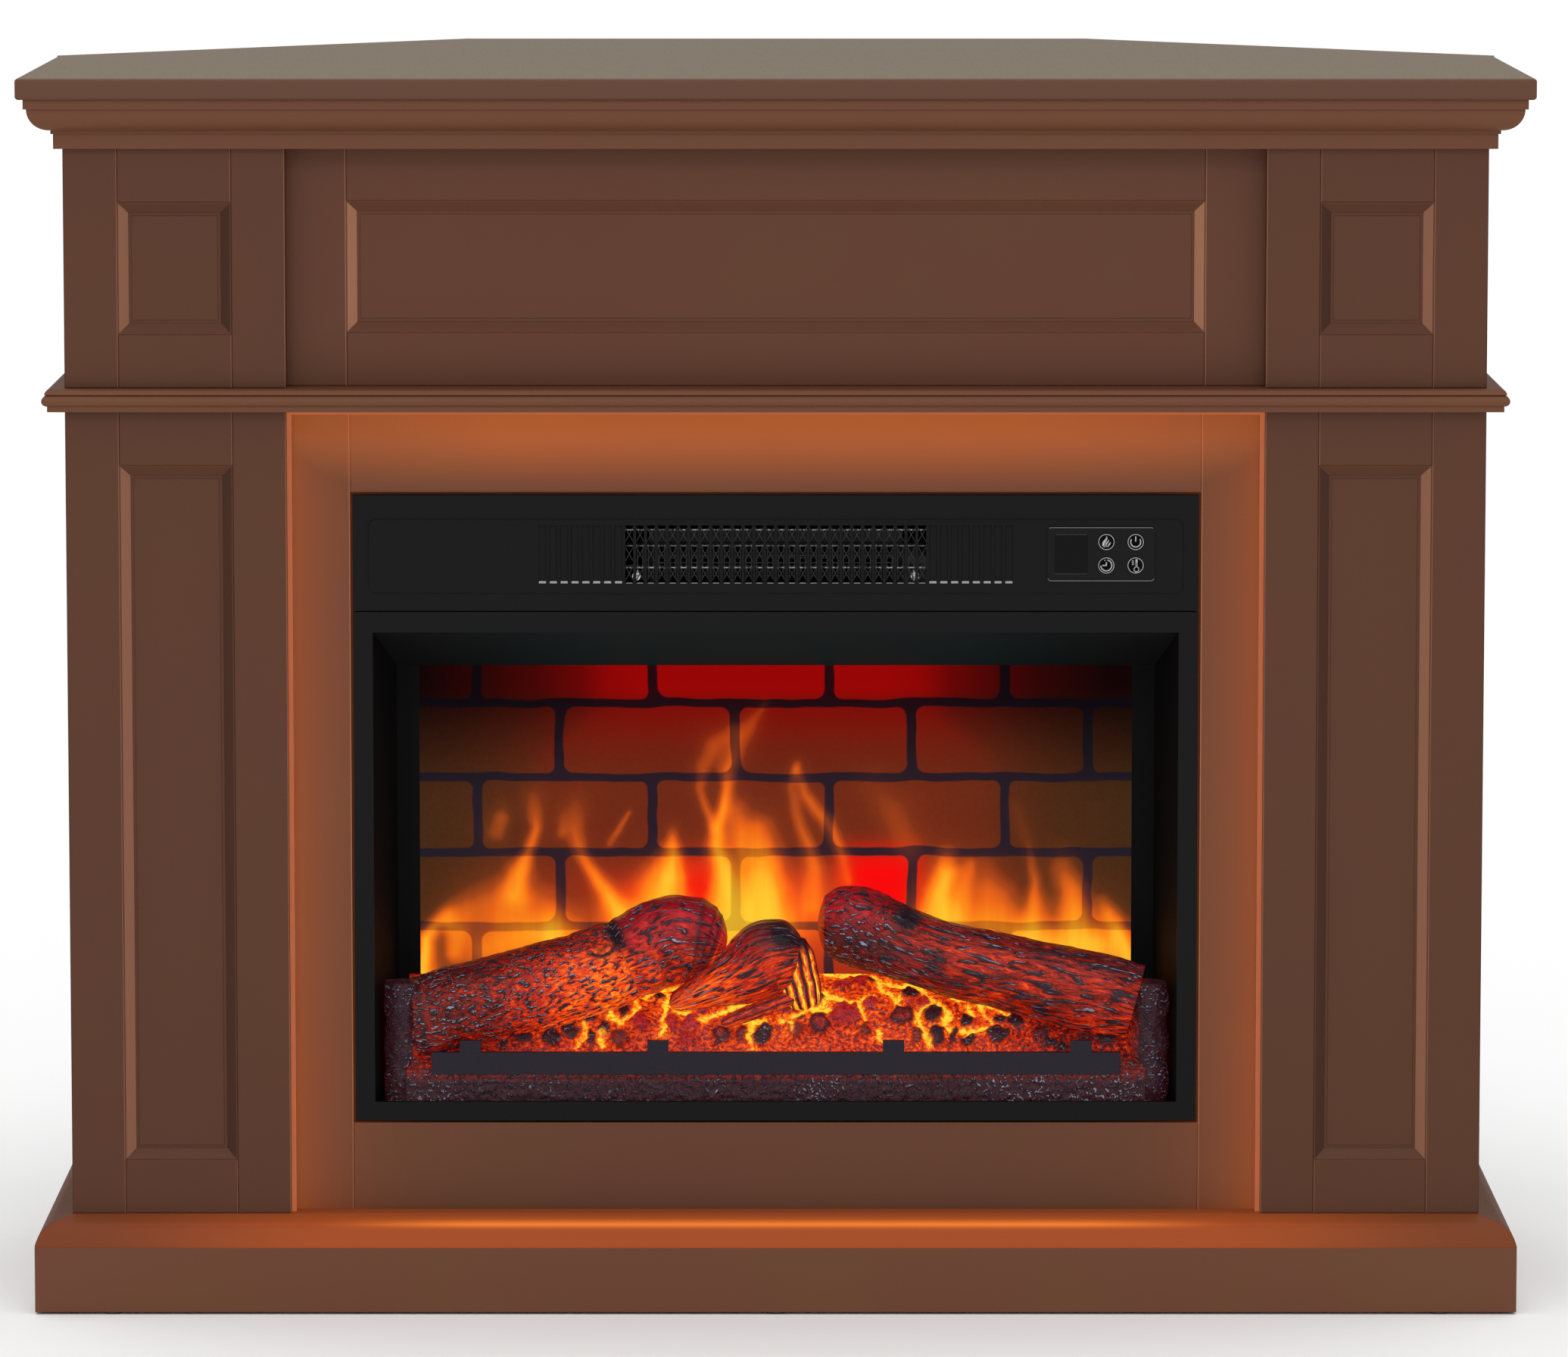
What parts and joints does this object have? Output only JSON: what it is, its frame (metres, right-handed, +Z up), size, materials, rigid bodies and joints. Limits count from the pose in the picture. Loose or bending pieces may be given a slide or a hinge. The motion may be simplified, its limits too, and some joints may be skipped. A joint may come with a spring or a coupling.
{
  "type": "corner fireplace with electric insert",
  "caption": "Moulded brown board mantel with a truncated-corner top that fits a room corner, round an electric insert with a log-effect fire, heater grille and control panel.",
  "frame": {"origin": "under the middle of the box round the object, on the floor", "axes": "+X to the right as seen from the front, +Y back into the corner, +Z up; the front faces -Y"},
  "size_m": [1.262, 0.769, 1.042],
  "materials": {
    "painted_board": "satin brown lacquer on fibreboard, fine grain showing",
    "carcass_board": "matte brown stained board",
    "zinc_steel": "zinc plated, dull",
    "rubber": "matte",
    "led_channel": "satin",
    "led_diffuser": "milky, lit warm orange",
    "driver_plastic": "matte",
    "black_steel": "satin black powder coat",
    "mesh_wire": "dark satin wire",
    "heater_ribs": "dull, heat tinted",
    "blower_shell": "satin dark grey",
    "blower_aluminium": "satin",
    "motor_steel": "dull",
    "gloss_black": "gloss, with a thin silver outline",
    "display_glass": "dark smoked window, gloss",
    "button_black": "satin, with white printed symbols",
    "circuit_board": "matte green",
    "flame_glass": "translucent screen with glowing bricks and flames",
    "rotor_foil": "mirror-bright foil",
    "glowing_embers": "painted resin, lit from below",
    "log_resin": "painted bark resin, lit from inside",
    "grate_iron": "rough dark"
  },
  "bodies": {
    "mantel_and_insert": {"mantel_top": "painted_board", "top_corner_extension": "painted_board", "crown_front": "painted_board", "crown_returns": "painted_board", "crown_backer": "painted_board", "pilaster_stiles_left": "painted_board", "pilaster_stiles_right": "painted_board", "pilaster_rails_left": "painted_board", "pilaster_rails_right": "painted_board", "pilaster_panels_left": "painted_board", "pilaster_panels_right": "painted_board", "frieze_stiles": "painted_board", "frieze_rails": "painted_board", "frieze_panel": "painted_board", "mid_shelf": "painted_board", "surround_stiles": "painted_board", "surround_rails": "painted_board", "side_panel_left": "painted_board", "side_panel_right": "painted_board", "plinth_front": "painted_board", "plinth_returns": "painted_board", "plinth_cap": "painted_board", "base_board": "carcass_board", "base_corner_extension": "carcass_board", "base_skirt": "painted_board", "rear_uprights": "carcass_board", "rear_stretchers": "carcass_board", "extension_bearers": "carcass_board", "insert_platform": "carcass_board", "corner_blocks": "carcass_board", "mending_plates": "zinc_steel", "assembly_screws": "zinc_steel", "floor_pads": "rubber", "led_channels": "led_channel", "led_diffusers": "led_diffuser", "led_driver": "driver_plastic", "insert_housing": "black_steel", "rear_cover": "black_steel", "heater_fascia": "black_steel", "lower_frame": "black_steel", "vent_mesh": "mesh_wire", "heating_element": "heater_ribs", "blower_housing": "blower_shell", "blower_motor": "motor_steel", "control_bezel": "gloss_black", "display_window": "display_glass", "control_board": "circuit_board", "chamber_liner": "black_steel", "flame_screen": "flame_glass", "rotor_drive": "zinc_steel", "ember_bed": "glowing_embers", "log_set": "log_resin", "grate": "grate_iron", "insert_brackets": "zinc_steel"},
    "flame_rotor": {"flame_rotor": "rotor_foil"},
    "blower_wheel": {"blower_wheel": "blower_aluminium"},
    "button_flame": {"button_flame": "button_black"},
    "button_power": {"button_power": "button_black"},
    "button_timer": {"button_timer": "button_black"},
    "button_heat": {"button_heat": "button_black"}
  },
  "joints": [
    {"name": "flame_rotor_spin", "type": "hinge", "parent": "mantel_and_insert", "child": "flame_rotor", "pos_m": [0, -0.1845, 0.2055], "axis": [1, 0, 0], "continuous": true},
    {"name": "blower_wheel_spin", "type": "hinge", "parent": "mantel_and_insert", "child": "blower_wheel", "pos_m": [0, -0.261, 0.628], "axis": [1, 0, 0], "continuous": true},
    {"name": "button_flame_press", "type": "slide", "parent": "mantel_and_insert", "child": "button_flame", "axis": [0, 1, 0], "range_m": [0, 0.0008], "stiffness_N_per_m": 600},
    {"name": "button_power_press", "type": "slide", "parent": "mantel_and_insert", "child": "button_power", "axis": [0, 1, 0], "range_m": [0, 0.0008], "stiffness_N_per_m": 600},
    {"name": "button_timer_press", "type": "slide", "parent": "mantel_and_insert", "child": "button_timer", "axis": [0, 1, 0], "range_m": [0, 0.0008], "stiffness_N_per_m": 600},
    {"name": "button_heat_press", "type": "slide", "parent": "mantel_and_insert", "child": "button_heat", "axis": [0, 1, 0], "range_m": [0, 0.0008], "stiffness_N_per_m": 600}
  ]
}
